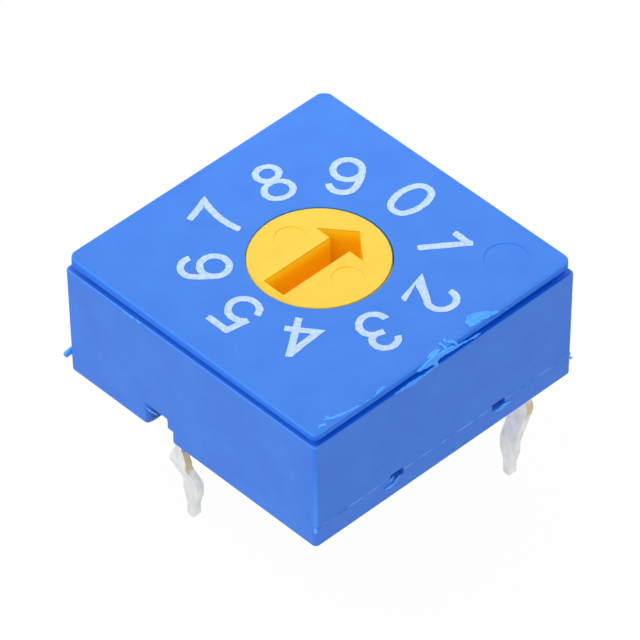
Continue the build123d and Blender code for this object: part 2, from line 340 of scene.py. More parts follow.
# Painted light: the upper slot walls glow orange, less further down.
painted_slot_glow = rotor_yellow.mix(depth.ramp(0.50, 0.04), (0.050, 0.050, 0, 1), (0.24, 0.16, 0, 1))
rotor_yellow.glow(depth.ramp(0.035, 0.06), painted_slot_glow)
rotor_yellow.bump(rotor_yellow.speckle(0.09, detail=2.0), 0.003)
print("rotor finish:", rotor_yellow.material.name)

# %% [markdown]
# ## Metals
# The leads are stamped from brass strip that was tinned first, so the shears lay brass bare along
# every edge. Later the legs are dipped in solder, which covers brass and tin alike below the dip
# line. Tin is a dull, slightly streaky grey. The contacts inside are gold plated, and the two
# detent leaves are plain spring steel with the fine lines of rolling along their length.

# %% Tin, gold and steel
def metal(name, colour, shade, roughness, grain, stretch=(1, 1, 1), depth=0.002, metallic=1.0):
    """Plated or rolled metal, streaked along its stretch. A dull coat is only partly metallic."""
    finish = Finish(name, Metallic=metallic)
    streak = finish.speckle(grain, detail=4.0, stretch=stretch)
    finish.colour = finish.mix(streak.ramp(0.3, 0.7), colour, shade)
    finish.set("Base Color", finish.colour)
    finish.set("Roughness", roughness + (streak - 0.5) * 0.3)
    finish.bump(streak, depth)
    return finish


lead_tin = metal(
    "tin_plate", paint(242, 243, 241), paint(224, 226, 224), 0.5, 0.2,
    stretch=(1, 1, 2), depth=0.001, metallic=0.75,
)
contact_gold = metal("gold_plate", paint(240, 205, 120), paint(226, 188, 100), 0.3, 0.1)
spring_steel = metal(
    "rolled_steel", paint(196, 198, 200), paint(170, 172, 176), 0.35, 0.05, stretch=(12, 1, 1)
)

# %% Brass that the shears laid bare
BARE_TOP = -0.90
BARE_END = -1.95
z = lead_tin.axes()[2]
patchy = lead_tin.speckle(0.18, detail=3.0) - 0.5
sheared = lead_tin.axes(lead_tin.node("NewGeometry", output="Normal"))[1].ramp(-0.6, -0.95)
below_top = (z + patchy).ramp(BARE_TOP + 0.15, BARE_TOP)
bare = sheared * (z + patchy).ramp(BARE_END, BARE_END + 0.3) * below_top
lead_tin.set("Base Color", lead_tin.mix(bare * 0.85, lead_tin.colour, paint(206, 184, 136)))
print("bare brass from", BARE_TOP, "to", BARE_END, "mm")

# %% Rubber and ink
seal_rubber = Finish("silicone", Base_Color=paint(38, 38, 40), Roughness=0.75)
seal_rubber.bump(seal_rubber.speckle(0.05), 0.004)

dial_ink = Finish("pad_ink", IOR=1.5, Roughness=0.6)
ink_density = dial_ink.speckle(0.11, detail=3.0)
thin_ink, thick_ink = paint(170, 203, 252), paint(196, 219, 255)
dial_ink.set("Base Color", dial_ink.mix(ink_density.ramp(0.38, 0.62), thin_ink, thick_ink))
dial_ink.bump(ink_density, 0.003)
print(len(bpy.data.materials), "finishes so far")

# %% [markdown]
# ## From the frame's triangles to moulded edges
# A piece of the frame is a shell of loose triangles with perfectly sharp edges. Nothing moulded or
# stamped is that sharp, and a highlight needs a little radius to sit on. The frame's own mesh may
# not be touched, so a copy is merged, its flat faces are joined up again, chosen edges get a small
# bevel, and the copy stands for the piece. The weighted normals keep the large flats flat beside
# the small bevels.

# %% Copies with softened edges
MERGE = 0.0005 * MM
FLAT = math.radians(0.5)
SHARP = math.radians(32)


def cad_copy(node):
    """The node's mesh, merged, with one face for each flat."""
    bm = bmesh.new()
    bm.from_mesh(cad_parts[node].data)
    bmesh.ops.remove_doubles(bm, verts=bm.verts, dist=MERGE)
    bmesh.ops.dissolve_limit(bm, angle_limit=FLAT, verts=bm.verts, edges=bm.edges)
    return bm


def soften(bm, radius, chosen, segments=2):
    """Bevels the sharp edges for which chosen(edge) is true. Radius is in millimetres."""
    edges = [e for e in bm.edges if e.is_manifold and e.calc_face_angle() > SHARP and chosen(e)]
    bmesh.ops.bevel(
        bm, geom=edges, offset=radius * MM, offset_type="OFFSET", affect="EDGES",
        segments=segments, profile=0.5, material=-1, clamp_overlap=True,
    )
    return len(edges)


def settle(name, bm, body, slot, *finishes, smooth=SHARP):
    """Makes an object of a bmesh, gives it its finishes and lets it ride on its body."""
    mesh = bpy.data.meshes.new(name)
    bm.to_mesh(mesh)
    bm.free()
    mesh.shade_smooth()
    mesh.set_sharp_from_angle(angle=smooth)
    for finish in finishes:
        mesh.materials.append(finish.material)
    piece = bpy.data.objects.new(name, mesh)
    bpy.context.scene.collection.objects.link(piece)
    weighted = piece.modifiers.new("even_flats", "WEIGHTED_NORMAL")
    weighted.keep_sharp = True
    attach(piece, body)
    print(name, "has", len(mesh.polygons), "faces")
    return piece


def middle(edge):
    return (edge.verts[0].co + edge.verts[1].co) / 2


# %% [markdown]
# ## The housing
# The outer edges of the housing decide how moulded it looks. The rim's edge is round enough to
# catch a line of light, and the mouths of the pockets that the legs come out of are rounder still.
# Edges deep inside stay as they are, because the cover hides them. Each group of edges is picked
# out by where it lies. Before that, the rim, the pockets' roofs and steps and one jamb are moved by
# about a tenth of a millimetre, which the frame has a little off.

# %% Soften the housing
def reach_of(point):
    """How far out a point is, along X or Y, whichever is more."""
    return max(abs(point.x), abs(point.y))


def on_wall(edge):
    """Both ends lie in the outer wall's face."""
    return all(reach_of(v.co) > half_side - 0.075 * MM for v in edge.verts)


def rim_edge(edge):
    return on_wall(edge) and middle(edge).z > (rim_crest - 0.01) * MM


def foot_edge(edge):
    return middle(edge).z < 0.01 * MM and reach_of(middle(edge)) > half_side - 0.3 * MM


def pocket_mouth(edge):
    """Outline of a leg's pocket, in the walls at the two ends of X."""
    point = middle(edge)
    return on_wall(edge) and 0.02 * MM < point.z < 0.9 * MM and abs(point.x) > half_side - 0.3 * MM


def window_side(edge):
    """Edges that run into the small windows where the lead frame's bars were cut off."""
    point = middle(edge)
    run = edge.verts[0].co - edge.verts[1].co
    in_window = 0.5 * MM < point.z < 0.9 * MM and abs(point.y) > half_side - 0.3 * MM
    return in_window and abs(run.y) > 0.15 * MM


def window_mouth(edge):
    point = middle(edge)
    return on_wall(edge) and 0.5 * MM < point.z < 0.9 * MM and abs(point.y) > half_side - 0.3 * MM


def rim_corner(edge):
    """The upright edges inside the rim's four corners."""
    points = [v.co / MM for v in edge.verts]
    at_corner = all(abs(abs(p.x) - abs(p.y)) < 0.01 and p.z > 3.4 for p in points)
    return at_corner and abs(points[0].z - points[1].z) > 0.1


def shift(bm, chosen, by):
    """Move the chosen points, both measured in millimetres."""
    points = [vert for vert in bm.verts if chosen(vert.co / MM)]
    bmesh.ops.translate(bm, vec=Vector(by) * MM, verts=points)
    return len(points)


ROOF_LOWERED = 0.13
STEP_LOWERED = 0.12
JAMB_SHIFT = 0.085
moves = {
    "rim": (lambda p: p.z > 3.6 and reach_of(p) > 4.6, (0, 0, -RIM_LOWERED)),
    "roof": (lambda p: reach_of(p) > 5.0 and 0.84 < p.z < 0.88, (0, 0, -ROOF_LOWERED)),
    "step": (lambda p: abs(p.x) > 4.3 and 0.48 < p.z < 0.52, (0, 0, -STEP_LOWERED)),
    "jamb": (lambda p: p.x < -4.3 and abs(p.y - 0.735) < 0.01 and p.z < 0.5, (0, JAMB_SHIFT, 0)),
}

housing = cad_copy("base_housing")
for what, (chosen, by) in moves.items():
    print(what, "moved:", shift(housing, chosen, by), "points")
for chosen, radius in (
    (rim_edge, 0.06), (rim_corner, 0.30), (window_side, 0.04), (window_mouth, 0.02),
    (pocket_mouth, 0.12), (foot_edge, 0.05),
):
    print(chosen.__name__, "softened:", soften(housing, radius, chosen, segments=3))

# %% [markdown]
# Where the two halves of the mould met, a little plastic was squeezed out all round, three quarters
# of a millimetre above the foot. The wall is cut three times, the cuts are divided finely, and the
# middle one is drawn out by an amount that a noise field varies along the line. Its upper side is
# steep and catches the light; below, the wall runs back slowly to where it was, so that no dark
# line shows.

# %% Draw out the parting line
PARTING = 0.75 * MM
FIN_TOP = 0.78 * MM
FIN_FOOT = 0.66 * MM

for height in (FIN_FOOT, PARTING, FIN_TOP):
    bmesh.ops.bisect_plane(
        housing, geom=housing.verts[:] + housing.edges[:] + housing.faces[:],
        plane_co=(0, 0, height), plane_no=(0, 0, 1), dist=MERGE / 10,
    )


def in_band(vert):
    inside = FIN_FOOT - MERGE < vert.co.z < FIN_TOP + MERGE
    return inside and reach_of(vert.co) > half_side - 0.12 * MM


groups = {}
for edge in housing.edges:
    run = edge.verts[0].co - edge.verts[1].co
    level = abs(run.z) < MERGE and run.length > 0.12 * MM
    if in_band(edge.verts[0]) and in_band(edge.verts[1]) and level:
        groups.setdefault(round(run.length / (0.06 * MM)), []).append(edge)
for cuts, edges in groups.items():
    bmesh.ops.subdivide_edges(housing, edges=edges, cuts=cuts, use_grid_fill=True)


def fin_reach(point):
    """How far the fin stands out at a point: boldest on the wall at -Y, faint elsewhere."""
    bold = 1.0 if point.y < -half_side + 0.2 * MM else 0.4
    return bold * (0.020 + 0.024 * noise.noise(point / (0.35 * MM))) * MM


for vert in housing.verts:
    if in_band(vert) and abs(vert.co.z - PARTING) < MERGE:
        outward = Vector((vert.co.x, vert.co.y, 0)) / reach_of(vert.co)
        vert.co += outward * max(0.004 * MM, fin_reach(vert.co))
housing_piece = settle("housing_shell", housing, "housing", "housing_blue", housing_blue)
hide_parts("base_housing")

# %% [markdown]
# ## The cover
# The cover's upper edge is already round in the frame, and the round mark that the mould's gate
# left is softened here. The outer edge is also set a hair further out than the frame has it. Its
# lower edge hangs a little lower, except at -Y, and the front corner is pushed out where the other
# corners are pulled in. Smooth shading does the rest, which a shell of loose triangles can't have.

# %% Smooth the cover
GATE = Vector((3.68, -3.68)) * MM
GATE_RADIUS = 0.65 * MM
COVER_SPREAD = 1.005
COVER_LOWERED = 0.07
CORNER_REACH = 0.6 * MM
CORNER_OUT = 0.12
CORNER_IN = 0.08


def gate_mark(edge):
    return edge.verts[0].co.z > cover_top - 0.03 * MM and all(
        abs((v.co.xy - GATE).length - GATE_RADIUS) < 0.02 * MM for v in edge.verts
    )


cover = cad_copy("cover")
outer = [vert for vert in cover.verts if reach_of(vert.co) > 4.6 * MM]
bmesh.ops.scale(cover, vec=(COVER_SPREAD, COVER_SPREAD, 1), verts=outer)


def hanging(point):
    """The cover's lower edge, on all sides but the one at -Y."""
    return reach_of(point) > 4.6 and point.y > -4.6 and abs(point.z - groove_top) < 0.01


shift(cover, hanging, (0, 0, -COVER_LOWERED))
for vert in outer:
    x, y = vert.co.x, vert.co.y
    near_corner = max(0, CORNER_REACH - abs(abs(x) - abs(y)))
    outward = near_corner * (CORNER_OUT if x < 0 and y < 0 else -CORNER_IN)
    vert.co += Vector((math.copysign(1, x), math.copysign(1, y), 0)) * outward
print("gate mark softened:", soften(cover, 0.009, gate_mark))
cover_piece = settle("cover_plate", cover, "housing", "cover_blue", cover_blue)
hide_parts("cover")

# %% [markdown]
# ## The rotor
# The mouth of the arrow slot is worn round by the moulding tool, and it is what the eye goes to
# first, so it gets a bevel of its own, in three steps. The top of the rotor stands a hair off the
# axis, within its play, which makes the gap round it uneven.

# %% Soften the slot's mouth
def slot_mouth(edge):
    point = middle(edge)
    on_face = all(abs(v.co.z - rotor_top) < 0.001 * MM for v in edge.verts)
    return on_face and max(v.co.xy.length for v in edge.verts) < 1.9 * MM


ROTOR_OFFSET = (-0.010, 0.010, 0)
rotor = cad_copy("rotor")
print("points of the top moved:", shift(rotor, lambda p: p.z > 4.0, ROTOR_OFFSET))
print("slot edges softened:", soften(rotor, 0.04, slot_mouth, segments=3))
rotor_piece = settle("rotor_knob", rotor, "rotor", "rotor_yellow", rotor_yellow)
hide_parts("rotor")

# %% [markdown]
# ## The terminals
# Each terminal gets a small radius along its leg, where the punch drew the edge in and the solder
# ran over it. Points that lie close together at the bend are merged first, or the bevel would pinch
# there and show as a dark line. The common terminal's neck and knee are moved a little from where
# the frame has them.

# %% Soften the legs
NECK_SHIFT = (0, -0.10, 0)
KNEE_TOP_SHIFT = (0, 0, 0.27)
KNEE_SHIFT = (0, 0, 0.08)
BEND_MERGE = 0.09 * MM


def on_leg(edge):
    return middle(edge).z < 0.3 * MM


for key in ("c", "1", "2", "4", "8"):
    terminal = cad_copy("terminal_" + key)
    if key == "c":
        shift(terminal, lambda p: p.x < -4.1 and p.y > 1.3 and p.z > -1.3, NECK_SHIFT)
        shift(terminal, lambda p: p.x < -4.1 and -1.3 < p.z < -1.2, KNEE_TOP_SHIFT)
        shift(terminal, lambda p: p.x < -4.1 and -1.6 < p.z < -1.4, KNEE_SHIFT)
    bend = [vert for vert in terminal.verts if -2.0 * MM < vert.co.z < -1.3 * MM]
    bmesh.ops.remove_doubles(terminal, verts=bend, dist=BEND_MERGE)
    soften(terminal, 0.05, on_leg)
    piece = settle("lead_" + key, terminal, "housing", "lead_tin", lead_tin)
    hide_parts("terminal_" + key)

# %% [markdown]
# ## What stays as it is
# Disc, fingers, leaves and seal are hidden once the switch is closed. Their shapes are right in the
# frame, so they keep their meshes and only take a finish.

# %% Finishes for the hidden pieces
hidden = {"o_ring": seal_rubber, "code_disc": contact_gold}
hidden |= {"detent_leaf_" + side: spring_steel for side in ("rear", "front")}
hidden |= {"finger_" + key: contact_gold for key in ("c", "1", "2", "4", "8")}
for node, finish in hidden.items():
    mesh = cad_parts[node].data
    mesh.materials.clear()
    mesh.materials.append(finish.material)
print("hidden pieces finished:", len(hidden))

# %% [markdown]
# ## The dial's digits
# The digits are pad printed: thin, slightly ragged strokes of pale ink, all of one width with
# square ends. A font would bring somebody's letter shapes along, so the strokes are drawn instead,
# the way a signwriter would, with a broad nib. The nib is a short edge; moved along it leaves a
# ribbon, and spun about a point it leaves an arc. An arc only needs its end, because it starts in
# the direction that the nib is going.

# %% A nib that draws ribbons
STROKE = 0.205


class Nib:
    """Draws one ribbon in the plane, in millimetres. Headings are in degrees, 0 to the right."""

    def __init__(self, x, y, heading):
        self.bm = bmesh.new()
        self.point = Vector((x, y, 0))
        self.heading = heading
        self.verts = [self.bm.verts.new(spot) for spot in self.ends(heading)]
        self.edge = self.bm.edges.new(self.verts)

    def left(self, heading):
        return Vector((-math.sin(math.radians(heading)), math.cos(math.radians(heading)), 0))

    def ends(self, heading, stretch=1):
        """The nib's two ends at its point, the left one first."""
        reach = self.left(heading) * STROKE / 2 * stretch
        return [self.point + reach, self.point - reach]

    def take_up(self, geom):
        """The new edge is the nib now, with its left end first."""
        self.edge = next(g for g in geom if isinstance(g, bmesh.types.BMEdge))
        left = self.left(self.heading)
        self.verts = sorted(self.edge.verts, key=lambda vert: vert.co.dot(left), reverse=True)

    def line(self, x, y, turn=0):
        """A straight stretch. A turn at its end gets a mitred corner."""
        self.take_up(bmesh.ops.extrude_edge_only(self.bm, edges=[self.edge])["geom"])
        self.point = Vector((x, y, 0))
        mitre = 1 / math.cos(math.radians(turn / 2))
        for vert, spot in zip(self.verts, self.ends(self.heading + turn / 2, mitre)):
            vert.co = spot
        self.heading += turn
        return self

    def arc(self, x, y, step=9):
        """An arc that leaves along the heading and ends at the given point."""
        chord = Vector((x, y, 0)) - self.point
        bend = math.degrees(math.atan2(chord.y, chord.x)) - self.heading
        bend = (bend + 180) % 360 - 180
        radius = chord.length / (2 * math.sin(math.radians(bend)))
        spun = bmesh.ops.spin(
            self.bm, geom=[*self.verts, self.edge],
            cent=self.point + self.left(self.heading) * radius,
            axis=(0, 0, 1), angle=math.radians(2 * bend), steps=max(2, round(abs(2 * bend) / step)),
        )
        self.point = Vector((x, y, 0))
        self.heading += 2 * bend
        self.take_up(spun["geom_last"])
        return self


def ring(x, y, half_width, half_height):
    """A closed ribbon round a point."""
    nib = Nib(half_width, 0, 90)
    bmesh.ops.spin(
        nib.bm, geom=[*nib.verts, nib.edge], cent=(0, 0, 0), axis=(0, 0, 1),
        angle=math.tau, steps=40, use_merge=True,
    )
    bmesh.ops.scale(nib.bm, vec=(1, half_height / half_width, 1), verts=nib.bm.verts)
    bmesh.ops.translate(nib.bm, vec=(x, y, 0), verts=nib.bm.verts)
    return nib


# %% Try the nib
trial = Nib(0, 0, 90).line(0, 1).arc(1, 1)
print("a trial stroke ends at", [round(c, 2) for c in trial.point], "heading", round(trial.heading))
trial.bm.free()

# %% [markdown]
# Each digit is one to three strokes about the middle of its space, 1.6 mm high. The points are the
# ones where a pen would change its curve.

# %% Ten digits
def zero():
    side = Nib(0.44, 0.02, 90).arc(0.33, 0.5).arc(-0.27, 0.5)
    return [side.arc(-0.27, -0.47).arc(0.33, -0.47).arc(0.44, 0.02)]


def one():
    return [Nib(0.075, 0.84, -90).line(0.05, -0.72), Nib(-0.43, 0.38, 38).line(0.05, 0.72)]


def two():
    neck = Nib(-0.37, 0.40, 86).arc(0.06, 0.77).arc(0.46, 0.36).arc(0.27, 0.02)
    return [neck.line(-0.40, -0.58, 133).line(0.56, -0.57)]


def three():
    return [
        Nib(-0.41, 0.44, 80).arc(0.0, 0.76).arc(0.33, 0.44).arc(0.02, 0.12).line(-0.15, 0.12),
        Nib(-0.42, -0.31, -82).arc(0.0, -0.66).arc(0.41, -0.27).arc(0.0, 0.12).line(-0.15, 0.12),
    ]


def four():
    return [
        Nib(0.57, -0.29, 180).line(-0.38, -0.29, -124).line(0.27, 0.73),
        Nib(0.25, 0.80, -90).line(0.25, -0.76),
    ]


def five():
    return [
        Nib(0.48, 0.66, 180).line(-0.27, 0.66, 79).line(-0.40, -0.04),
        Nib(-0.43, -0.35, -75).arc(0.0, -0.68).arc(0.43, -0.22).arc(0.03, 0.19).arc(-0.36, 0.03),
    ]


def six():
    return [
        Nib(0.45, 0.38, 105).arc(0.07, 0.69).arc(-0.30, 0.42).arc(-0.385, -0.22),
        ring(0.03, -0.265, 0.415, 0.415),
    ]


def seven():
    return [Nib(-0.45, 0.7, 0).line(0.42, 0.7, -126).line(0.34, 0.59).arc(-0.14, -0.74)]


def eight():
    return [ring(0.04, 0.42, 0.34, 0.30), ring(0.04, -0.32, 0.42, 0.36)]


def nine():
    return [
        Nib(-0.40, -0.38, -78).arc(0.02, -0.69).arc(0.38, -0.40).arc(0.45, 0.26),
        ring(0.03, 0.28, 0.42, 0.42),
    ]


digits = [zero, one, two, three, four, five, six, seven, eight, nine]
print("digits drawn by", [digit.__name__ for digit in digits])

# %% [markdown]
# A ribbon is flat. Ink has a body, if only two hundredths of a millimetre, and where two strokes of
# one digit cross they must become one outline, or the overlap would flicker. So each ribbon gets
# its thickness, and the strokes of a digit are united with a Boolean modifier. Its many small faces
# are left as they are: joined into one, that face would fill the bowl of the 5 when it is divided
# again. Ink doesn't hold a sharp point, so the sharpest corners are cut off. The printing pad
# leaves ragged edges: the outline is divided finely and every point is pushed by a field of noise
# that depends on its place alone.

# %% Ink with a body and a ragged edge
INK_BODY = 0.02
RAGGED = 0.020
RAGGED_SIZE = 0.07
BLUNT = 0.035


def thicken(bm, height):
    """Turns a flat sheet in millimetres into a slab."""
    bmesh.ops.remove_doubles(bm, verts=bm.verts, dist=0.0005)
    bmesh.ops.recalc_face_normals(bm, faces=bm.faces)
    bmesh.ops.solidify(bm, geom=bm.faces[:], thickness=height)
    low = min(vert.co.z for vert in bm.verts)
    bmesh.ops.translate(bm, vec=(0, 0, -low), verts=bm.verts)
    bmesh.ops.recalc_face_normals(bm, faces=bm.faces)


def as_object(bm, name):
    """A plain object for a modifier to work on."""
    mesh = bpy.data.meshes.new(name)
    bm.to_mesh(mesh)
    bm.free()
    made = bpy.data.objects.new(name, mesh)
    bpy.context.scene.collection.objects.link(made)
    return made


def united(parts):
    """One bmesh of the parts' union."""
    first, *others = [as_object(bm, "part_of_union") for bm in parts]
    for other in others:
        union = first.modifiers.new("unite", "BOOLEAN")
        union.operation = "UNION"
        union.solver = "EXACT"
        union.object = other
    depsgraph = bpy.context.evaluated_depsgraph_get()
    whole = bmesh.new()
    whole.from_mesh(first.evaluated_get(depsgraph).to_mesh())
    for made in (first, *others):
        bpy.data.meshes.remove(made.data)
    return whole


def roughen(bm, reach, size):
    """Pushes points sideways by a field of noise."""
    for vert in bm.verts:
        push = noise.noise_vector(vert.co / size)
        vert.co.x += push.x * reach
        vert.co.y += push.y * reach


def printed(digit):
    """A digit as a slab of ink, in millimetres."""
    ribbons = [nib.bm for nib in digit()]
    for ribbon in ribbons:
        thicken(ribbon, INK_BODY)
    whole = united(ribbons)
    upright = [e for e in whole.edges if abs(e.verts[0].co.z - e.verts[1].co.z) > INK_BODY / 2]
    convex = [e for e in upright if e.is_manifold and e.is_convex]
    corners = [e for e in convex if e.calc_face_angle() > 2 * SHARP]
    bmesh.ops.bevel(
        whole, geom=corners, offset=BLUNT, offset_type="OFFSET", affect="EDGES",
        segments=1, profile=0.5, material=-1, clamp_overlap=True,
    )
    return whole


# %% [markdown]
# The digits stand in a ring, tops outward, 36 degrees apart, with the 0 where the arrow points at
# rest. The ring was printed a little off the rotor's axis, as pad printing often is.

# %% Print the dial
DIAL_RADIUS = 3.34
DIAL_SHIFT = Vector((0.12, -0.06, 0))
INK_SUNK = 0.008

dial = bmesh.new()
for number, digit in enumerate(digits):
    slab = printed(digit)
    long_edges = [edge for edge in slab.edges if edge.calc_length() > 0.12]
    bmesh.ops.subdivide_edges(slab, edges=long_edges, cuts=4)
    bmesh.ops.triangulate(slab, faces=slab.faces[:])
    angle = math.radians(-36 * number)
    turn = Matrix.Rotation(angle - math.pi / 2, 4, "Z")
    in_ring = (DIAL_RADIUS * math.cos(angle), DIAL_RADIUS * math.sin(angle), -INK_SUNK)
    spot = DIAL_SHIFT + Vector(in_ring)
    bmesh.ops.transform(slab, matrix=Matrix.Translation(spot) @ turn, verts=slab.verts)
    roughen(slab, RAGGED, RAGGED_SIZE)
    mesh = bpy.data.meshes.new("digit")
    slab.to_mesh(mesh)
    slab.free()
    dial.from_mesh(mesh)
    bpy.data.meshes.remove(mesh)
bmesh.ops.scale(dial, vec=(MM, MM, MM), verts=dial.verts)
bmesh.ops.translate(dial, vec=(0, 0, cover_top), verts=dial.verts)
settle("dial_digits", dial, "housing", "cover_blue", dial_ink)

# %% [markdown]
# ## Torn plastic
# The cover was welded on, and the weld squeezed out plastic that tore into strands. Short bits also
# hang on at the corners, where the parting line's fin ends. A strand is a circle that is pushed
# along a path: at each station it gets a new width and thickness, and after that the whole is
# divided and shaken by noise, because nothing torn is smooth.

# %% A strand from a few stations
COARSE = 0.08
FINE = 0.035


def shred(up, stations, ragged=0.012):
    """A torn strand. A station is x, y, z, width and thickness in millimetres.
    The thickness is along up."""
    up = Vector(up)
    points = [Vector(station[:3]) for station in stations]
    frames = []
    for index, (point, station) in enumerate(zip(points, stations)):
        ahead = (points[min(index + 1, len(points) - 1)] - points[max(index - 1, 0)]).normalized()
        side = ahead.cross(up).normalized()
        lift = side.cross(ahead)
        here = Matrix((side * station[3] / 2, lift * station[4] / 2, ahead))
        frames.append(Matrix.Translation(point) @ here.transposed().to_4x4())
    bm = bmesh.new()
    bmesh.ops.create_circle(bm, cap_ends=True, segments=10, radius=1, matrix=frames[0])
    cap = list(bm.faces)
    for before, now in zip(frames, frames[1:]):
        grown = bmesh.ops.extrude_face_region(bm, geom=cap)["geom"]
        moved = [part for part in grown if isinstance(part, bmesh.types.BMVert)]
        cap = [part for part in grown if isinstance(part, bmesh.types.BMFace)]
        bmesh.ops.transform(bm, matrix=now @ before.inverted(), verts=moved)
    bmesh.ops.subdivide_edges(bm, edges=bm.edges, cuts=3, smooth=0.25, use_grid_fill=True)
    for vert in bm.verts:
        coarse = noise.noise_vector(vert.co / COARSE) * ragged * 1.3
        vert.co += coarse + noise.noise_vector(vert.co / FINE) * ragged
    bmesh.ops.recalc_face_normals(bm, faces=bm.faces)
    bmesh.ops.scale(bm, vec=(MM, MM, MM), verts=bm.verts)
    return bm


def torn(name, slot, *strands):
    """One piece of several strands."""
    whole = bmesh.new()
    for bm in strands:
        mesh = bpy.data.meshes.new("strand")
        bm.to_mesh(mesh)
        bm.free()
        whole.from_mesh(mesh)
        bpy.data.meshes.remove(mesh)
    return settle(name, whole, "housing", slot, torn_blue, smooth=math.radians(60))


FRONT = (0, -1, 0)
TOP = (0, 0, 1)

# %% The strand in the groove
torn(
    "weld_strand", "cover_blue",
    shred(FRONT, [
        (-1.32, -4.98, 4.20, 0.03, 0.03), (-1.10, -5.03, 4.21, 0.12, 0.08),
        (-0.86, -5.05, 4.22, 0.20, 0.10), (-0.66, -5.05, 4.24, 0.28, 0.12),
        (-0.44, -5.05, 4.25, 0.32, 0.12), (-0.26, -5.05, 4.25, 0.20, 0.10),
        (-0.04, -5.04, 4.23, 0.20, 0.10), (0.16, -5.04, 4.20, 0.20, 0.10),
        (0.35, -5.04, 4.15, 0.12, 0.07), (0.62, -5.04, 4.11, 0.06, 0.05),
        (0.93, -5.04, 4.06, 0.05, 0.04), (1.30, -5.03, 4.02, 0.02, 0.02),
    ]),
    shred(FRONT, [
        (-0.52, -5.06, 4.12, 0.10, 0.05), (-0.46, -5.07, 4.05, 0.16, 0.05),
        (-0.42, -5.07, 3.98, 0.14, 0.05), (-0.40, -5.06, 3.90, 0.05, 0.02),
    ]),
    shred(FRONT, [
        (-2.00, -5.03, 3.90, 0.03, 0.02), (-1.80, -5.05, 3.93, 0.10, 0.05),
        (-1.58, -5.06, 3.93, 0.14, 0.06), (-1.36, -5.07, 3.93, 0.18, 0.06),
        (-1.14, -5.07, 3.93, 0.14, 0.06), (-0.92, -5.07, 3.93, 0.10, 0.05),
        (-0.66, -5.07, 3.95, 0.10, 0.05), (-0.50, -5.06, 3.96, 0.04, 0.02),
    ]),
)

# %% Spurs and smears on the cover's edge
torn(
    "weld_spurs", "cover_blue",
    shred(TOP, [
        (-0.02, -5.03, 4.34, 0.10, 0.06), (-0.05, -4.97, 4.38, 0.08, 0.05),
        (-0.07, -4.90, 4.39, 0.05, 0.05), (-0.06, -4.83, 4.39, 0.09, 0.06),
        (-0.05, -4.79, 4.38, 0.03, 0.02),
    ]),
    shred(TOP, [
        (0.06, -4.90, 4.37, 0.02, 0.02), (0.10, -4.86, 4.39, 0.06, 0.05),
        (0.13, -4.81, 4.39, 0.10, 0.06), (0.15, -4.76, 4.38, 0.03, 0.02),
    ]),
    shred(TOP, [
        (0.14, -4.88, 4.38, 0.03, 0.02), (0.20, -4.95, 4.38, 0.07, 0.05),
        (0.29, -5.01, 4.35, 0.08, 0.06), (0.36, -5.05, 4.25, 0.09, 0.06),
        (0.42, -5.05, 4.16, 0.03, 0.02),
    ]),
    shred(TOP, [
        (-0.70, -4.98, 4.36, 0.03, 0.02), (-0.56, -4.97, 4.38, 0.12, 0.05),
        (-0.38, -4.97, 4.38, 0.14, 0.05), (-0.22, -4.98, 4.37, 0.05, 0.02),
    ]),
)
torn(
    "weld_smear", "cover_blue",
    shred(TOP, [
        (1.05, -4.84, 4.37, 0.20, 0.04), (1.12, -4.82, 4.38, 0.34, 0.07),
        (1.28, -4.80, 4.38, 0.36, 0.08), (1.48, -4.84, 4.38, 0.30, 0.08),
        (1.68, -4.90, 4.37, 0.22, 0.07), (1.86, -4.96, 4.36, 0.12, 0.05),
        (2.05, -5.01, 4.33, 0.03, 0.02),
    ]),
    shred(TOP, [
        (1.02, -4.96, 4.37, 0.04, 0.03), (1.05, -4.84, 4.39, 0.09, 0.08),
        (1.12, -4.72, 4.39, 0.09, 0.08), (1.24, -4.63, 4.39, 0.09, 0.08),
        (1.42, -4.66, 4.39, 0.09, 0.07), (1.62, -4.76, 4.38, 0.08, 0.06),
        (1.84, -4.88, 4.38, 0.03, 0.03),
    ]),
)

# %% The ridge and crumbs beside the front corner
torn(
    "corner_crumbs", "cover_blue",
    shred(TOP, [
        (-4.42, -4.72, 4.37, 0.03, 0.02), (-4.30, -4.80, 4.37, 0.08, 0.06),
        (-4.12, -4.87, 4.37, 0.09, 0.06), (-3.92, -4.92, 4.37, 0.08, 0.05),
        (-3.70, -4.96, 4.36, 0.06, 0.05), (-3.45, -4.98, 4.35, 0.05, 0.04),
        (-3.10, -5.00, 4.34, 0.05, 0.04), (-2.80, -5.00, 4.34, 0.04, 0.03),
        (-2.62, -4.99, 4.35, 0.07, 0.04), (-2.45, -4.96, 4.36, 0.08, 0.04),
        (-2.28, -4.95, 4.36, 0.02, 0.02),
    ]),
    shred(TOP, [
        (-4.33, -4.68, 4.37, 0.04, 0.03), (-4.28, -4.73, 4.39, 0.10, 0.07),
        (-4.24, -4.80, 4.38, 0.05, 0.04),
    ]),
    shred(TOP, [
        (-4.74, -4.86, 4.36, 0.03, 0.02), (-4.65, -4.86, 4.38, 0.09, 0.05),
        (-4.54, -4.88, 4.37, 0.09, 0.05), (-4.44, -4.90, 4.36, 0.03, 0.02),
    ]),
)

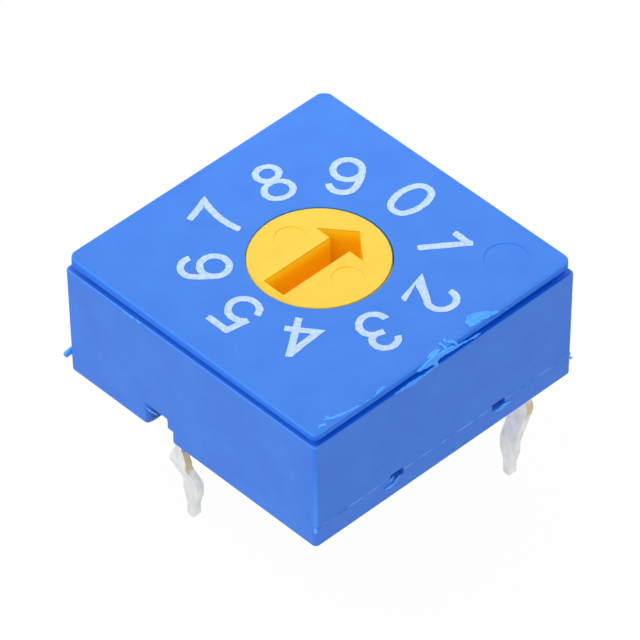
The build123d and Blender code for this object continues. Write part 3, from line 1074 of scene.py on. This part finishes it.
# %% Torn bits of the housing's fin
torn(
    "left_corner_nub", "housing_blue",
    shred((0, 1, 0), [
        (-4.86, 4.98, 0.66, 0.30, 0.10), (-4.96, 5.02, 0.64, 0.30, 0.12),
        (-5.05, 5.04, 0.60, 0.24, 0.14), (-5.12, 5.05, 0.56, 0.24, 0.14),
        (-5.16, 5.05, 0.54, 0.14, 0.08),
    ], ragged=0.006),
)
torn(
    "right_corner_nub", "housing_blue",
    shred(FRONT, [
        (4.80, -5.04, 0.72, 0.05, 0.04), (4.88, -5.06, 0.69, 0.09, 0.05),
        (4.94, -5.07, 0.65, 0.05, 0.04),
    ], ragged=0.004),
)
torn(
    "front_corner_nub", "housing_blue",
    shred((-1, -1, 0), [
        (-5.01, -5.01, 0.60, 0.04, 0.03), (-5.01, -5.01, 0.68, 0.12, 0.07),
        (-5.00, -5.00, 0.78, 0.06, 0.04),
    ], ragged=0.006),
)
torn(
    "left_rim_fringe", "housing_blue",
    shred((-1, 0, 0), [
        (-5.03, 2.66, 3.88, 0.02, 0.02), (-5.05, 2.52, 3.88, 0.06, 0.05),
        (-5.04, 2.41, 3.88, 0.03, 0.03), (-5.05, 2.29, 3.87, 0.07, 0.05),
        (-5.03, 2.17, 3.88, 0.03, 0.03),
    ]),
    shred((-1, 0, 0), [
        (-5.03, 2.10, 3.89, 0.02, 0.02), (-5.05, 1.99, 3.89, 0.08, 0.06),
        (-5.03, 1.88, 3.89, 0.02, 0.02),
    ]),
    shred((-1, 0, 0), [
        (-5.02, 1.80, 0.69, 0.02, 0.02), (-5.04, 1.70, 0.70, 0.03, 0.03),
        (-5.04, 1.58, 0.70, 0.05, 0.04), (-5.04, 1.46, 0.69, 0.04, 0.03),
        (-5.03, 1.38, 0.69, 0.02, 0.02),
    ]),
)

# %% Lips of the windows
torn(
    "window_lips", "housing_blue",
    shred(FRONT, [
        (1.98, -5.01, 0.53, 0.03, 0.02), (2.10, -5.03, 0.54, 0.09, 0.04),
        (2.24, -5.03, 0.56, 0.15, 0.05), (2.38, -5.03, 0.56, 0.13, 0.05),
        (2.50, -5.02, 0.53, 0.06, 0.03), (2.58, -5.01, 0.52, 0.02, 0.02),
    ]),
    shred(FRONT, [
        (-2.36, -5.01, 0.47, 0.03, 0.02), (-2.24, -5.03, 0.47, 0.09, 0.04),
        (-2.08, -5.04, 0.47, 0.11, 0.05), (-1.98, -5.03, 0.51, 0.08, 0.04),
        (-1.86, -5.02, 0.56, 0.06, 0.03), (-1.78, -5.01, 0.60, 0.02, 0.02),
    ]),
    shred(FRONT, [
        (-2.16, -4.98, 0.62, 0.03, 0.02), (-2.10, -5.00, 0.64, 0.06, 0.04),
        (-2.04, -5.01, 0.70, 0.05, 0.04), (-2.00, -4.99, 0.74, 0.02, 0.02),
    ]),
)

# %% [markdown]
# ## The stage
# A plain floor at the pins' tips, where the switch stands. It should look white without more light
# falling on the switch, so what the camera, a mirror or a glass sees of it is mostly given by a
# white emission, and only a part is lit paint. That part keeps the soft shadow.

# %% Floor
FLOOR_EMISSION = 0.98
floor_bm = bmesh.new()
bmesh.ops.create_grid(floor_bm, x_segments=1, y_segments=1, size=0.6)
bmesh.ops.translate(floor_bm, vec=(0, 0, pin_tip), verts=floor_bm.verts)
floor = as_object(floor_bm, "floor")
floor_paint = Finish("floor_paint", Base_Color=(0.8, 0.8, 0.8, 1), Roughness=0.9)
lit = Wire(floor_paint, floor_paint.shader.outputs[0])
white = floor_paint.node("Emission", {}, {"Color": (1, 1, 1, 1)})
share = floor_paint.seen() * FLOOR_EMISSION
blend = floor_paint.node("MixShader", {}, {0: share, 1: lit, 2: white})
floor_paint.plug(floor_paint.tree.nodes["Material Output"].inputs["Surface"], blend)
floor.data.materials.append(floor_paint.material)
print("floor at", round(pin_tip / MM, 2), "mm")

# %% World and lamps
SKY_LIGHT = 0.62
world = bpy.data.worlds.new("studio")
world.use_nodes = True
bpy.context.scene.world = world
around = Nodes(world.node_tree)
sky = world.node_tree.nodes["Background"]
sky.inputs["Color"].default_value = (1, 1, 1, 1)
around.plug(sky.inputs["Strength"], SKY_LIGHT + (1 - SKY_LIGHT) * around.seen())


def softbox(name, spot, size, power):
    """A square lamp that faces the switch."""
    lamp = bpy.data.lights.new(name, "AREA")
    lamp.size = size
    lamp.energy = power
    made = bpy.data.objects.new(name, lamp)
    aim = (-Vector(spot)).to_track_quat("-Z", "Y").to_matrix().to_4x4()
    made.matrix_world = Matrix.Translation(spot) @ aim
    bpy.context.scene.collection.objects.link(made)


softbox("key", (-0.22, 0.10, 0.46), 0.3, 1.12)
softbox("back", (0.015, 0.015, 0.020), 0.02, 0.0019)

# %% [markdown]
# ## The camera
# A long lens from a hand's length away flattens the perspective almost to a technical view. The
# camera is placed by turning and tilting about the point that it looks at, and then backing off,
# which is easier to picture than a position and three angles.

# %% Camera
FOCAL = 388.45
AIM = Vector((-0.0362, -0.0284, 2.0)) * MM
DISTANCE = 193.79 * MM
TURN, TILT, ROLL = -43.549, 90 - 43.605, -0.526

lens = bpy.data.cameras.new("camera")
lens.sensor_width = 36
lens.lens = FOCAL
lens.clip_start = 0.01
lens.clip_end = 10
camera = bpy.data.objects.new("camera", lens)
bpy.context.scene.collection.objects.link(camera)
camera.matrix_world = (
    Matrix.Translation(AIM)
    @ Matrix.Rotation(math.radians(TURN), 4, "Z")
    @ Matrix.Rotation(math.radians(TILT), 4, "X")
    @ Matrix.Rotation(math.radians(ROLL), 4, "Z")
    @ Matrix.Translation((0, 0, DISTANCE))
)
bpy.context.scene.camera = camera
bpy.context.scene.view_settings.view_transform = "Standard"
